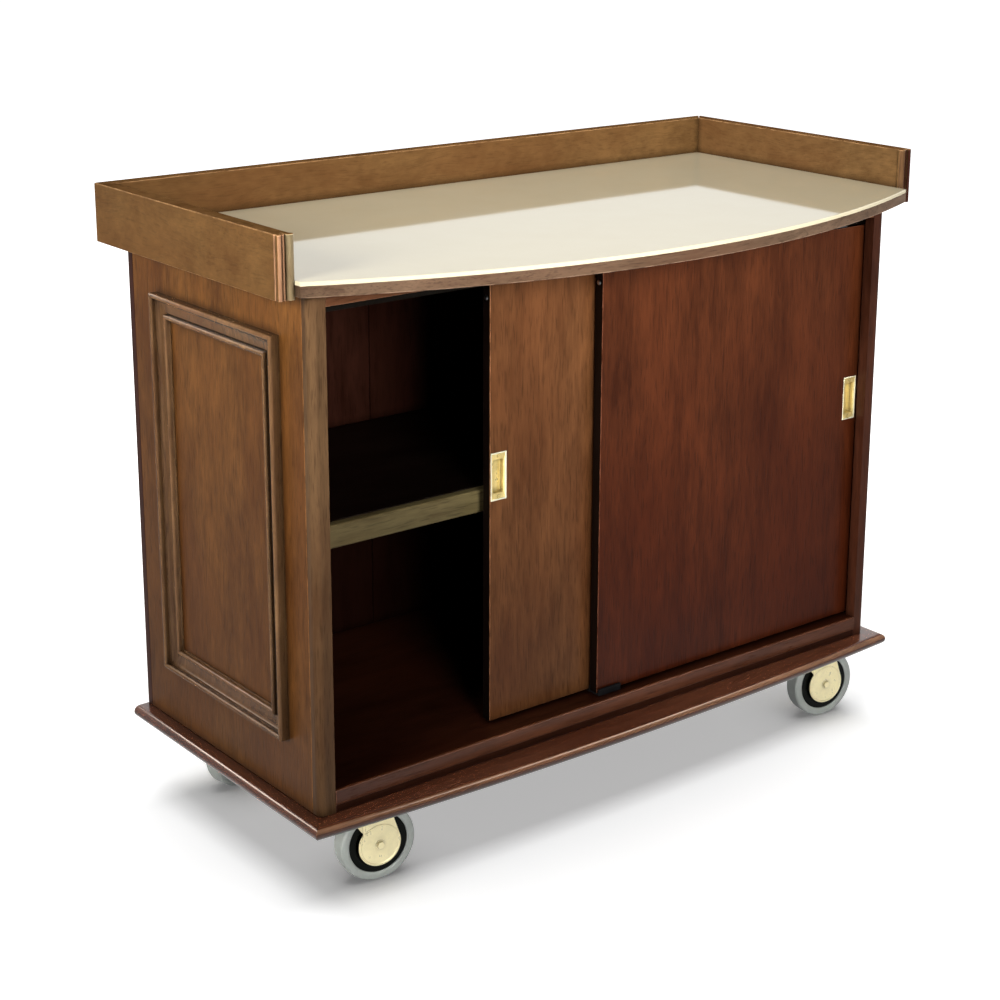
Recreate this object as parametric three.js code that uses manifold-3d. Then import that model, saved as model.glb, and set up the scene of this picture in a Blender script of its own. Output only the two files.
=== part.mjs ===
// Bow-front service cabinet on four swivel casters, with a railed worktop and two
// bypass sliding doors. Millimetres, +Z up. The front faces -Y. The origin is on the
// floor, under the centre of the cabinet's bounding box.
import * as THREE from 'three';
import Module from 'manifold-3d';
import { mergeVertices } from 'three/addons/utils/BufferGeometryUtils.js';

const wasm = await Module();
wasm.setup();

// ---- driving dimensions ----
const GAP = 0.3;                       // clearance between faces that touch

const RAIL = { halfWidth: 659, thick: 25, bottom: 971.5, top: 1067, front: -192 };
const BACK = 352;                      // rear plane of rail, body and base
const WORKTOP = { bottom: 976, top: 999.4, sheet: 6, corner: -211, bow: 141 };
const BODY = { halfWidth: 606.7, front: -189, bottom: 157, top: 975.7, side: 21.7 };
const STILE = { width: 28.2, depth: 20, round: 13 };
const HEADER = { bottom: 952, depth: 20 };
const FLOOR_TOP = 194;
const BASE = { halfWidth: 634.5, top: 156.7, thick: 20, corner: -220, bow: 24, nose: 9 };
const BASE_HOLE = { halfWidth: 585, front: -186, back: 330 };
const SHELF = { front: -104, top: 586, thick: 18.7, edgeDepth: 18.7, edgeHeight: 38 };
const CLEAT = { width: 18, height: 19, front: -80, back: 326 };
const BACK_PANEL = { front: 338, thick: 12 };
const SUB_TOP = { bottom: 957.3, back: 326.7 };
const MOULDING = { front: -107, back: 258, bottom: 258, top: 899 };

const DOOR = { width: 615.5, thick: 18, bottom: 198.5, top: 934.7 };
const FRONT_TRACK_Y = -156;            // mid-plane of the right-hand (front) door
const REAR_TRACK_Y = -133;             // mid-plane of the left-hand (rear) door
const RIGHT_DOOR_X = -33.5;            // left edges at rest
const LEFT_DOOR_X = -244.9;
const PULL = { width: 32, height: 80, bottom: 577.5, margin: 1.5, flange: 1.6, proud: 0.6 };
const CUP = { width: 21, height: 56, depth: 10, wall: 1.2 };
const BUMPER = { radius: 4.5, length: 3, z: 910 };
const HANGER = { inset: 60, length: 34, width: 13, plate: 2, stem: 3.6, stemLength: 10 };
const ROLLER = { radius: 6.2, width: 4.5, offset: 4.4, axle: 1.8, z: 947.1 };
const TRACK = { bottom: 939, top: 957, wall: 1.6, lip: 6.5, halfWidth: 584.7 };
const GUIDE = { x: -8, length: 48, plate: 2, top: 206 };

const WHEEL = { radius: 64.5, width: 32, ring: 50, bore: 4.4 };
const CASTER = { x: 508, front: -143, back: 265, trail: 28 };
const FORK = { inside: 18.5, thick: 3.5, disc: 36.5, crownTop: 146.7, crownBottom: 139.5 };
const CROWN = { radius: 30, front: -24, back: 34 };   // plan of the fork's top, swivel axis at 0
// Points (x, z) on the outline of a fork leg, from its front edge round to its back edge.
const LEG = { waist: [-17, 117], throat: [0, 88], flank: [62, 78], hip: [45, 130], neck: [35, 136] };
const HUB = { radius: 12, web: 6, rim: 39.5, step: 1.5 };   // wheel centre
const AXLE = { radius: 4, headRadius: 7.5, head: 4.2 };
// Each caster's heading at rest, in degrees about +Z from trailing towards +X.
const HEADINGS = { front_left: -9.5, front_right: -9.5, back_left: 14, back_right: -4 };

// ---- materials ----
function paint(color, roughness, metalness = 0) {
  return new THREE.MeshStandardMaterial({ color, roughness, metalness });
}

const walnut = () => paint(0x6b4529, 0.45);
const walnutDark = () => paint(0x4e2b1a, 0.42);
const railWood = () => paint(0x7b5b37, 0.45);
const cream = () => paint(0xe8e4d2, 0.15);
const brass = () => paint(0xd9bd7a, 0.25, 1);
const steel = () => paint(0xb4b6b8, 0.3, 1);
const bronze = () => paint(0x3a332c, 0.4, 1);
const blackPlastic = () => paint(0x16171a, 0.4);
const greyRubber = () => paint(0x949ca0, 0.6);

// ---- helpers ----
const group = new THREE.Group();

function add(name, geometry, material, parent = group) {
  const mesh = new THREE.Mesh(geometry, material);
  mesh.name = name;
  parent.add(mesh);
  return mesh;
}

function box(x0, x1, y0, y1, z0, z1) {
  const geometry = new THREE.BoxGeometry(x1 - x0, y1 - y0, z1 - z0);
  return geometry.translate((x0 + x1) / 2, (y0 + y1) / 2, (z0 + z1) / 2);
}

/** An upright prism over a plan outline (Shape in X, Y). */
function slab(outline, z0, z1, curveSegments = 16) {
  const options = { depth: z1 - z0, bevelEnabled: false, curveSegments };
  return new THREE.ExtrudeGeometry(outline, options).translate(0, 0, z0);
}

/** A prism along X over an outline whose points are (y, z). */
function bar(points, x0, x1) {
  const outline = new THREE.Shape(points.map(([y, z]) => new THREE.Vector2(y, z)));
  const geometry = new THREE.ExtrudeGeometry(outline, { depth: x1 - x0, bevelEnabled: false });
  geometry.rotateX(Math.PI / 2).rotateZ(Math.PI / 2);
  return geometry.translate(x0, 0, 0);
}

/** A round bar centred on the origin, with its axis along Y. */
function rodY(radius, length, segments = 24) {
  return new THREE.CylinderGeometry(radius, radius, length, segments);
}

function solid(geometry) {
  const bare = geometry.clone();
  bare.deleteAttribute('normal');
  bare.deleteAttribute('uv');
  const merged = mergeVertices(bare, 1e-4);
  return new wasm.Manifold(new wasm.Mesh({
    numProp: 3,
    vertProperties: new Float32Array(merged.attributes.position.array),
    triVerts: new Uint32Array(merged.index.array),
  }));
}

function geometryOf(manifold) {
  const mesh = manifold.getMesh();
  const geometry = new THREE.BufferGeometry();
  geometry.setAttribute('position', new THREE.BufferAttribute(mesh.vertProperties, 3));
  geometry.setIndex(new THREE.BufferAttribute(mesh.triVerts, 1));
  const flat = geometry.toNonIndexed();
  flat.computeVertexNormals();
  return flat;
}

const union = (...parts) => wasm.Manifold.union(parts.map(solid));
const cut = (body, ...tools) => tools.reduce((rest, tool) => rest.subtract(solid(tool)), body);

const mirrorX = (geometry) => geometryOf(solid(geometry).mirror([1, 0, 0]));

/** Plan outline, straight at the back and sides, with a front bowed by `bow`. */
function bowedOutline(halfWidth, back, corner, bow, steps = 40) {
  const outline = new THREE.Shape();
  outline.moveTo(halfWidth, corner);
  outline.lineTo(halfWidth, back);
  outline.lineTo(-halfWidth, back);
  for (let i = 0; i < steps; i += 1) {
    const u = -1 + (2 * i) / steps;
    outline.lineTo(halfWidth * u, corner - bow * (1 - u * u));
  }
  return outline;
}

// ---- worktop and its rail ----
const RAIL_INSIDE = RAIL.halfWidth - RAIL.thick;

function buildWorktop() {
  const halfWidth = RAIL_INSIDE - GAP;
  const back = BACK - RAIL.thick - GAP;
  const sheetBottom = WORKTOP.top - WORKTOP.sheet;
  const outline = bowedOutline(halfWidth, back, WORKTOP.corner, WORKTOP.bow);
  add('worktop_board', slab(outline, WORKTOP.bottom, sheetBottom - GAP), railWood());
  add('worktop_surface', slab(outline, sheetBottom, WORKTOP.top), cream());
}

/** Right-hand rail board in plan: mitred at the back, nose and bead at the front. */
function sideRailOutline() {
  const inner = RAIL_INSIDE;
  const outer = RAIL.halfWidth;
  const noseWidth = 13;
  const noseReach = 8;
  const beadRadius = 4.2;
  const outline = new THREE.Shape();
  outline.moveTo(inner, BACK - RAIL.thick - GAP);
  outline.lineTo(inner, RAIL.front);
  const noseX = inner + noseWidth / 2;
  outline.absellipse(noseX, RAIL.front, noseWidth / 2, noseReach, Math.PI, 2 * Math.PI);
  outline.lineTo(inner + noseWidth, RAIL.front + 3);
  outline.lineTo(outer - 2 * beadRadius, RAIL.front + 3);
  const beadX = outer - beadRadius + 1;
  outline.absarc(beadX, RAIL.front - 1, beadRadius, Math.PI, 2.35 * Math.PI);
  outline.lineTo(outer - 1.5, RAIL.front + 4.5);
  outline.lineTo(outer, RAIL.front + 6.5);
  outline.lineTo(outer, BACK - GAP);
  return outline;
}

function buildRail() {
  const right = slab(sideRailOutline(), RAIL.bottom, RAIL.top, 10);
  add('rail_right', right, railWood());
  add('rail_left', mirrorX(right), railWood());
  const outer = RAIL.halfWidth - GAP;
  const inner = RAIL_INSIDE - GAP;
  const front = BACK - RAIL.thick;
  const corners = [[-outer, BACK], [-inner, front], [inner, front], [outer, BACK]];
  const outline = new THREE.Shape(corners.map(([x, y]) => new THREE.Vector2(x, y)));
  add('rail_back', slab(outline, RAIL.bottom, RAIL.top), railWood());
}

// ---- carcass ----
const SIDE_INSIDE = BODY.halfWidth - BODY.side;
const PANEL_HALF = SIDE_INSIDE - GAP;
const STILE_INSIDE = BODY.halfWidth - STILE.width;
const STILE_BACK = BODY.front + STILE.depth;

function buildSides() {
  const notchFront = BACK - RAIL.thick - GAP;
  const notchTop = RAIL.bottom - GAP;
  const profile = [
    [STILE_BACK + GAP, BODY.bottom],
    [BACK, BODY.bottom],
    [BACK, notchTop],
    [notchFront, notchTop],
    [notchFront, BODY.top],
    [STILE_BACK + GAP, BODY.top],
  ];
  add('side_panel_right', bar(profile, SIDE_INSIDE, BODY.halfWidth), walnut());
  add('side_panel_left', bar(profile, -BODY.halfWidth, -SIDE_INSIDE), walnut());
}

function buildStiles() {
  const outline = new THREE.Shape();
  outline.moveTo(STILE_INSIDE, BODY.front);
  outline.lineTo(BODY.halfWidth - STILE.round, BODY.front);
  outline.absarc(BODY.halfWidth - STILE.round, BODY.front + STILE.round, STILE.round, -Math.PI / 2, 0);
  outline.lineTo(BODY.halfWidth, STILE_BACK);
  outline.lineTo(STILE_INSIDE, STILE_BACK);
  const right = slab(outline, BODY.bottom, BODY.top, 8);
  add('stile_right', right, walnut());
  add('stile_left', mirrorX(right), walnut());
}

function buildInside() {
  const header = STILE_INSIDE - GAP;
  const headerBack = BODY.front + HEADER.depth;
  const rail = box(-header, header, BODY.front, headerBack, HEADER.bottom, BODY.top);
  add('header_rail', rail, walnutDark());

  const floorBack = BACK_PANEL.front - GAP;
  const floor = new THREE.Shape();
  floor.moveTo(header, BODY.front);
  floor.lineTo(header, STILE_BACK + GAP);
  floor.lineTo(PANEL_HALF, STILE_BACK + GAP);
  floor.lineTo(PANEL_HALF, floorBack);
  floor.lineTo(-PANEL_HALF, floorBack);
  floor.lineTo(-PANEL_HALF, STILE_BACK + GAP);
  floor.lineTo(-header, STILE_BACK + GAP);
  floor.lineTo(-header, BODY.front);
  add('floor_panel', slab(floor, BODY.bottom, FLOOR_TOP), walnutDark());

  const backRear = BACK_PANEL.front + BACK_PANEL.thick;
  const backTop = RAIL.bottom - GAP;
  const panel = box(-PANEL_HALF, PANEL_HALF, BACK_PANEL.front, backRear, BODY.bottom, backTop);
  add('back_panel', panel, walnutDark());
  const subFront = headerBack + GAP;
  const top = box(-PANEL_HALF, PANEL_HALF, subFront, SUB_TOP.back, SUB_TOP.bottom, BODY.top);
  add('sub_top', top, walnutDark());
}

function buildShelf() {
  const bottom = SHELF.top - SHELF.thick;
  const edgeBack = SHELF.front + SHELF.edgeDepth;
  const back = BACK_PANEL.front - GAP;
  add('shelf', box(-PANEL_HALF, PANEL_HALF, edgeBack + GAP, back, bottom, SHELF.top), walnutDark());
  const edgeBottom = SHELF.top - SHELF.edgeHeight;
  const edge = box(-PANEL_HALF, PANEL_HALF, SHELF.front, edgeBack, edgeBottom, SHELF.top);
  add('shelf_edge', edge, walnut());
  const top = bottom - GAP;
  const inner = PANEL_HALF - CLEAT.width;
  for (const [side, x0, x1] of [['left', -PANEL_HALF, -inner], ['right', inner, PANEL_HALF]]) {
    const cleat = box(x0, x1, CLEAT.front, CLEAT.back, top - CLEAT.height, top);
    add(`shelf_cleat_${side}`, cleat, walnutDark());
  }
}

/** Bullnosed frame under the body: one slab, cut out in the middle and mitred. */
function buildBase() {
  const reach = 40;
  const bottom = BASE.top - BASE.thick;
  const outline = bowedOutline(BASE.halfWidth, BACK + reach, BASE.corner, BASE.bow);
  const nosed = new THREE.ExtrudeGeometry(outline, {
    depth: BASE.thick - 2 * BASE.nose,
    bevelEnabled: true,
    bevelThickness: BASE.nose,
    bevelSize: BASE.nose,
    bevelOffset: -BASE.nose,
    bevelSegments: 5,
  }).translate(0, 0, bottom + BASE.nose);
  const hole = BASE_HOLE;
  const wide = BASE.halfWidth + reach;
  const low = bottom - 1;
  const high = BASE.top + 1;
  const ring = cut(
    solid(nosed),
    box(-wide, wide, BACK, BACK + 2 * reach, low, high),
    box(-hole.halfWidth, hole.halfWidth, hole.front, hole.back, low, high),
  );
  // Mitre lines run from the inner corners to the outer corners at the front.
  const slope = (hole.front - BASE.corner) / (BASE.halfWidth - hole.halfWidth);
  const far = 2 * reach;
  const frontWedge = new THREE.Shape();
  frontWedge.moveTo(hole.halfWidth - GAP, hole.front + GAP);
  frontWedge.lineTo(hole.halfWidth + far, hole.front - slope * far);
  frontWedge.lineTo(hole.halfWidth + far, hole.front - slope * far - wide);
  frontWedge.lineTo(-hole.halfWidth - far, hole.front - slope * far - wide);
  frontWedge.lineTo(-hole.halfWidth - far, hole.front - slope * far);
  frontWedge.lineTo(-hole.halfWidth + GAP, hole.front + GAP);
  const sideWedge = new THREE.Shape();
  sideWedge.moveTo(hole.halfWidth, hole.front + GAP);
  sideWedge.lineTo(hole.halfWidth + far, hole.front - slope * far + GAP);
  sideWedge.lineTo(hole.halfWidth + far, BACK + reach);
  sideWedge.lineTo(hole.halfWidth, BACK + reach);
  const right = ring.intersect(solid(slab(sideWedge, low, high)));
  add('base_front', geometryOf(ring.intersect(solid(slab(frontWedge, low, high)))), walnutDark());
  add('base_right', geometryOf(right), walnutDark());
  add('base_left', geometryOf(right.mirror([1, 0, 0])), walnutDark());
  const inner = hole.halfWidth - GAP;
  add('base_back', box(-inner, inner, hole.back, BACK, bottom, BASE.top), walnutDark());
}

/** Applied picture-frame moulding: a closed profile carried round four mitres. */
function mouldingGeometry() {
  // Points of the profile: inset from the outer edge, height off the panel.
  const profile = [[0, 0], [0, 14], [2, 16.4], [5, 17], [8, 16.4], [10, 14]];
  const cove = { inset: 28, height: 6, steps: 5 };
  for (let i = 1; i <= cove.steps; i += 1) {
    const angle = (Math.PI / 2) * (i / cove.steps);
    const inset = 10 + (cove.inset - 10) * (1 - Math.cos(angle));
    const height = 14 - (14 - cove.height + 2) * Math.sin(angle);
    profile.push([inset, height]);
  }
  profile.push([31, 6], [34, 7], [37, 6], [40, 3], [42, 0]);
  const positions = [];
  for (const [inset, height] of profile) {
    const corners = [
      [MOULDING.front + inset, MOULDING.bottom + inset],
      [MOULDING.back - inset, MOULDING.bottom + inset],
      [MOULDING.back - inset, MOULDING.top - inset],
      [MOULDING.front + inset, MOULDING.top - inset],
    ];
    for (const [y, z] of corners) positions.push(BODY.halfWidth + GAP + height, y, z);
  }
  const index = [];
  for (let ring = 0; ring < profile.length; ring += 1) {
    const next = (ring + 1) % profile.length;
    for (let corner = 0; corner < 4; corner += 1) {
      const turn = (corner + 1) % 4;
      const [a, b] = [4 * ring + corner, 4 * ring + turn];
      const [c, d] = [4 * next + turn, 4 * next + corner];
      index.push(a, b, c, a, c, d);
    }
  }
  const geometry = new THREE.BufferGeometry();
  geometry.setAttribute('position', new THREE.BufferAttribute(new Float32Array(positions), 3));
  geometry.setIndex(index);
  return geometry;
}

function buildMouldings() {
  const right = geometryOf(solid(mouldingGeometry()));
  add('side_moulding_right', right, walnut());
  add('side_moulding_left', mirrorX(right), walnut());
}

// ---- door gear ----
/** Double channel, open below, with lips that the rollers run on. */
function buildTrack() {
  const half = (REAR_TRACK_Y - FRONT_TRACK_Y) / 2;
  const { bottom, top, wall, lip } = TRACK;
  const front = FRONT_TRACK_Y - half - wall / 2;
  const back = REAR_TRACK_Y + half + wall / 2;
  const past = TRACK.halfWidth + 1;
  const room = half - wall / 2;
  const channel = (middle) => [
    box(-past, past, middle - room, middle + room, bottom + wall, top - wall),
    box(-past, past, middle - room + lip, middle + room - lip, bottom - 1, top - wall),
  ];
  const tools = [...channel(FRONT_TRACK_Y), ...channel(REAR_TRACK_Y)];
  const block = solid(box(-TRACK.halfWidth, TRACK.halfWidth, front, back, bottom, top));
  add('door_track', geometryOf(cut(block, ...tools)), bronze());
}

/** Floor guide under the doors' overlap: a plate with three upright fins. */
function buildGuide() {
  const x0 = GUIDE.x - GUIDE.length / 2;
  const x1 = GUIDE.x + GUIDE.length / 2;
  const low = FLOOR_TOP + GAP;
  const frontDoor = [FRONT_TRACK_Y - DOOR.thick / 2, FRONT_TRACK_Y + DOOR.thick / 2];
  const rearDoor = [REAR_TRACK_Y - DOOR.thick / 2, REAR_TRACK_Y + DOOR.thick / 2];
  const play = 0.9;
  const fin = 4.5;
  const guide = union(
    box(x0, x1, frontDoor[0] - play - fin, rearDoor[1] + play + fin, low, low + GUIDE.plate),
    box(x0, x1, frontDoor[0] - play - fin, frontDoor[0] - play, low, GUIDE.top),
    box(x0, x1, frontDoor[1] + play, rearDoor[0] - play, low, GUIDE.top),
    box(x0, x1, rearDoor[1] + play, rearDoor[1] + play + fin, low, GUIDE.top),
  );
  add('door_guide', geometryOf(guide), blackPlastic());
}

/** Recessed pull and the pocket it sits in, for a door whose face is at `face`. */
function pullSolids(x0, face) {
  const x1 = x0 + PULL.width;
  const z0 = PULL.bottom;
  const z1 = z0 + PULL.height;
  const midX = (x0 + x1) / 2;
  const midZ = (z0 + z1) / 2;
  const cup = (grow, from, to) => box(
    midX - CUP.width / 2 - grow, midX + CUP.width / 2 + grow, from, to,
    midZ - CUP.height / 2 - grow, midZ + CUP.height / 2 + grow,
  );
  const front = face - PULL.proud;
  const flangeBack = front + PULL.flange;
  const cupBack = face + CUP.depth;
  const pull = cut(
    union(box(x0, x1, front, flangeBack, z0, z1), cup(CUP.wall, front, cupBack)),
    cup(0, front - 1, cupBack - CUP.wall),
  );
  const pocket = union(
    box(x0 - GAP, x1 + GAP, face - 1, flangeBack + GAP, z0 - GAP, z1 + GAP),
    cup(CUP.wall + GAP, face - 1, cupBack + GAP),
  );
  return { pull, pocket };
}

/** Hanger: plate on the door's top edge, and a stem with the roller's axle hole. */
function hangerGeometry(x, y) {
  const low = DOOR.top + GAP;
  const plateTop = low + HANGER.plate;
  const block = (length, width, top) => box(
    x - length / 2, x + length / 2, y - width / 2, y + width / 2, low, top,
  );
  const plate = block(HANGER.length, HANGER.width, plateTop);
  const stem = block(HANGER.stemLength, HANGER.stem, ROLLER.z + HANGER.stemLength / 2);
  const hole = rodY(ROLLER.axle + GAP, 2 * HANGER.width).translate(x, y, ROLLER.z);
  return geometryOf(cut(union(plate, stem), hole));
}

/** Two rollers on their axle, centred on the origin. */
function rollerGeometry() {
  const reach = ROLLER.offset + ROLLER.width;
  const middle = ROLLER.offset + ROLLER.width / 2;
  return geometryOf(union(
    rodY(ROLLER.axle, 2 * reach, 16),
    rodY(ROLLER.radius, ROLLER.width, 32).translate(0, middle, 0),
    rodY(ROLLER.radius, ROLLER.width, 32).translate(0, -middle, 0),
  ));
}

function buildDoor(side, x0, y, pullX) {
  const x1 = x0 + DOOR.width;
  const face = y - DOOR.thick / 2;
  const { pull, pocket } = pullSolids(pullX, face);
  const panel = solid(box(x0, x1, face, face + DOOR.thick, DOOR.bottom, DOOR.top));
  add(`door_${side}`, geometryOf(panel.subtract(pocket)), side === 'left' ? walnut() : walnutDark());
  add(`pull_${side}`, geometryOf(pull), brass());

  const bumper = rodY(BUMPER.radius, BUMPER.length - GAP, 24).rotateZ(Math.PI / 2);
  bumper.translate(x0 - GAP - (BUMPER.length - GAP) / 2, y, BUMPER.z);
  add(`bumper_${side}`, bumper, steel());

  for (const [end, x] of [['a', x0 + HANGER.inset], ['b', x1 - HANGER.inset]]) {
    add(`hanger_${side}_${end}`, hangerGeometry(x, y), steel());
    const rollers = add(`rollers_${side}_${end}`, rollerGeometry(), blackPlastic());
    rollers.position.set(x, y, ROLLER.z);
  }
}

// ---- casters: built in a local frame, swivel axis at the origin, trailing to +X ----
function casterPlate() {
  const top = BODY.bottom - GAP;
  const plateBottom = top - 3;
  const boss = new THREE.CylinderGeometry(26, 28, plateBottom - FORK.crownTop, 32);
  boss.rotateX(Math.PI / 2).translate(0, 0, (plateBottom + FORK.crownTop) / 2 + GAP / 2);
  return geometryOf(union(box(-46, 46, -35, 35, plateBottom, top), boss));
}

/** Fork: a crown with two broad legs, each ending in a round disc over the hub. */
function forkGeometry() {
  const hub = { x: CASTER.trail, z: WHEEL.radius };
  const outside = FORK.inside + FORK.thick;
  const { crownTop, crownBottom } = FORK;
  const legTop = crownBottom + FORK.thick;
  const outline = new THREE.Shape();
  outline.moveTo(CROWN.front, legTop);
  outline.lineTo(...LEG.waist);
  outline.lineTo(...LEG.throat);
  outline.lineTo(hub.x, hub.z);
  outline.lineTo(...LEG.flank);
  outline.lineTo(...LEG.hip);
  outline.lineTo(...LEG.neck);
  outline.lineTo(CROWN.back, legTop);
  const leg = (middle) => {
    const web = new THREE.ExtrudeGeometry(outline, { depth: FORK.thick, bevelEnabled: false });
    web.rotateX(Math.PI / 2).translate(0, middle + FORK.thick / 2, 0);
    const disc = rodY(FORK.disc, FORK.thick, 48).translate(hub.x, middle, hub.z);
    return [web, disc];
  };
  const middle = FORK.inside + FORK.thick / 2;
  const crownHeight = crownTop - GAP - crownBottom;
  const crown = new THREE.CylinderGeometry(CROWN.radius, CROWN.radius, crownHeight, 40);
  crown.rotateX(Math.PI / 2).translate(0, 0, crownBottom + crownHeight / 2);
  const bridge = box(CROWN.front, CROWN.back, -outside, outside, crownBottom, legTop);
  const bore = rodY(AXLE.radius + GAP, 100).translate(hub.x, 0, hub.z);
  return geometryOf(cut(union(crown, bridge, ...leg(middle), ...leg(-middle)), bore));
}

function axleGeometry() {
  const outside = FORK.inside + FORK.thick + GAP;
  const middle = outside + AXLE.head / 2;
  const head = (side) => rodY(AXLE.headRadius, AXLE.head, 6).translate(0, side * middle, 0);
  return geometryOf(union(rodY(AXLE.radius, 2 * outside + 2, 24), head(1), head(-1)));
}

/** A closed profile of (radius, y) points turned about the Y axis. */
function turned(points, segments) {
  const profile = [...points, points[0]].map(([radius, y]) => new THREE.Vector2(radius, y));
  return geometryOf(solid(new THREE.LatheGeometry(profile, segments)));
}

function wheelCore() {
  const { ring, bore } = WHEEL;
  const hubEnd = WHEEL.width / 2 + HUB.step;
  const rimEnd = WHEEL.width / 2 - HUB.step;
  const oneSide = [
    [bore, hubEnd], [HUB.radius, hubEnd], [HUB.radius + 1, HUB.web],
    [HUB.rim - HUB.step, HUB.web], [HUB.rim, rimEnd], [ring, rimEnd],
  ];
  const otherSide = oneSide.map(([radius, y]) => [radius, -y]);
  return turned([...otherSide, ...oneSide.reverse()], 48);
}

function tyreGeometry() {
  const half = WHEEL.width / 2;
  const { ring, radius } = WHEEL;
  return turned([
    [ring + GAP, -half + 1], [radius - 6, -half], [radius - 2, -half + 1.8], [radius, -half + 6],
    [radius, half - 6], [radius - 2, half - 1.8], [radius - 6, half], [ring + GAP, half - 1],
  ], 72);
}

function buildCaster(corner, x, y) {
  const stand = new THREE.Group();
  stand.position.set(x, y, 0);
  group.add(stand);
  add(`caster_plate_${corner}`, casterPlate(), steel(), stand);

  const swivel = new THREE.Group();
  swivel.rotation.z = THREE.MathUtils.degToRad(HEADINGS[corner]);
  stand.add(swivel);
  add(`caster_fork_${corner}`, forkGeometry(), brass(), swivel);

  const hub = new THREE.Group();
  hub.position.set(CASTER.trail, 0, WHEEL.radius);
  swivel.add(hub);
  add(`caster_axle_${corner}`, axleGeometry(), steel(), hub);
  add(`wheel_core_${corner}`, wheelCore(), blackPlastic(), hub);
  add(`tyre_${corner}`, tyreGeometry(), greyRubber(), hub);
}

// ---- assembly ----
buildWorktop();
buildRail();
buildSides();
buildStiles();
buildInside();
buildShelf();
buildBase();
buildMouldings();
buildTrack();
buildGuide();
buildDoor('left', LEFT_DOOR_X, REAR_TRACK_Y, LEFT_DOOR_X + PULL.margin);
const rightPullX = STILE_INSIDE - PULL.margin / 2 - PULL.width;
buildDoor('right', RIGHT_DOOR_X, FRONT_TRACK_Y, rightPullX);
buildCaster('front_left', -CASTER.x, CASTER.front);
buildCaster('front_right', CASTER.x, CASTER.front);
buildCaster('back_left', -CASTER.x, CASTER.back);
buildCaster('back_right', CASTER.x, CASTER.back);

export default group;
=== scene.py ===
import math

import bmesh
import bpy
from mathutils import Matrix, Vector


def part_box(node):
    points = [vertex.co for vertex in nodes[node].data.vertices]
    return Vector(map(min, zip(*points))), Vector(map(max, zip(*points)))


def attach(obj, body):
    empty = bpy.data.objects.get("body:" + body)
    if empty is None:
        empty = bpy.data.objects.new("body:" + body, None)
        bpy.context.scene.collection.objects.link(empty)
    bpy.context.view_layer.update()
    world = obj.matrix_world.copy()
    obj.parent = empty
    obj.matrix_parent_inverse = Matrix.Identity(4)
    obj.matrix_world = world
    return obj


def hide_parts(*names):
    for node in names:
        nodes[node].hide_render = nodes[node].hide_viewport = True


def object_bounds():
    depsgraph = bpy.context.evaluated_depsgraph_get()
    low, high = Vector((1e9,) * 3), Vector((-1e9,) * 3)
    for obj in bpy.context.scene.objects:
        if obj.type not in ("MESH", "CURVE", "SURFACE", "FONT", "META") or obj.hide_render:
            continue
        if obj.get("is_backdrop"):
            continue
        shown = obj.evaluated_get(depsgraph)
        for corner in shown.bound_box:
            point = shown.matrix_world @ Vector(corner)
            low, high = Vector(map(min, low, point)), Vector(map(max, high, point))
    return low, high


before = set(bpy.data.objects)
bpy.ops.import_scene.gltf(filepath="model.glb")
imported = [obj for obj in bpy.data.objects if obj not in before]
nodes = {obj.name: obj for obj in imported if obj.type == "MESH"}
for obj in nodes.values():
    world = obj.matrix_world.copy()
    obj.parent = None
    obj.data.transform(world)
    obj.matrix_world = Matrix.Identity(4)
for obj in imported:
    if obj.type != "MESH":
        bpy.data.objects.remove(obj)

MM = 0.001
CREASE = math.radians(32)  # A sharper fold than this shows as an edge.
EDGE_ANGLE = math.radians(28)  # A CAD edge sharper than this is rounded.
SAME_POINT = 1e-7
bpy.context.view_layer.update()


# ---- shapes ----
def mesh_object(name, points, faces, worn_and_highlit=()):
    """An object over points and faces, with its normals turned outward. The last argument lists by index the rounded
    edge faces, which are painted lighter as rubbed wear and painted highlight.
    """
    mesh = bpy.data.meshes.new(name)
    mesh.from_pydata([tuple(p) for p in points], [], faces)
    mark = mesh.attributes.new("wear", "FLOAT", "FACE")
    for index in worn_and_highlit:
        mark.data[index].value = 1.0
    form = bmesh.new()
    form.from_mesh(mesh)
    bmesh.ops.remove_doubles(form, verts=form.verts, dist=SAME_POINT)
    loose = [edge for edge in form.edges if not edge.link_faces]
    bmesh.ops.delete(form, geom=loose, context="EDGES")
    bmesh.ops.recalc_face_normals(form, faces=form.faces)
    form.to_mesh(mesh)
    form.free()
    piece = bpy.data.objects.new(name, mesh)
    bpy.context.scene.collection.objects.link(piece)
    return smooth(piece)


def smooth(piece):
    """Smooth shading that keeps flat faces flat and creases crisp."""
    mesh = piece.data
    mesh.polygons.foreach_set("use_smooth", [True] * len(mesh.polygons))
    mesh.set_sharp_from_angle(angle=CREASE)
    weighted = piece.modifiers.new("weighted", "WEIGHTED_NORMAL")
    weighted.keep_sharp = True
    return piece


def placed(name, form):
    """A finished bmesh as a smooth object in the scene."""
    mesh = bpy.data.meshes.new(name)
    form.to_mesh(mesh)
    form.free()
    piece = bpy.data.objects.new(name, mesh)
    bpy.context.scene.collection.objects.link(piece)
    return smooth(piece)


def loft(name, chains, closed=True, ring=False, turn=None, worn_and_highlit_rows=()):
    """Skin over equal chains of points. closed: each chain is a loop. ring: the last chain joins the first."""
    rows, count = len(chains), len(chains[0])
    points = [turn(p) if turn else p for chain in chains for p in chain]
    faces, worn_and_highlit = [], []
    for row in range(rows if ring else rows - 1):
        after = (row + 1) % rows
        for i in range(count if closed else count - 1):
            j = (i + 1) % count
            if row in worn_and_highlit_rows:
                worn_and_highlit.append(len(faces))
            faces.append((row * count + i, row * count + j, after * count + j, after * count + i))
    if closed and not ring:
        faces.append(tuple(range(count)))
        faces.append(tuple((rows - 1) * count + i for i in range(count)))
    if ring and not closed:
        faces.append(tuple(row * count for row in range(rows)))
        faces.append(tuple(row * count + count - 1 for row in range(rows)))
    return mesh_object(name, points, faces, worn_and_highlit)


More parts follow.
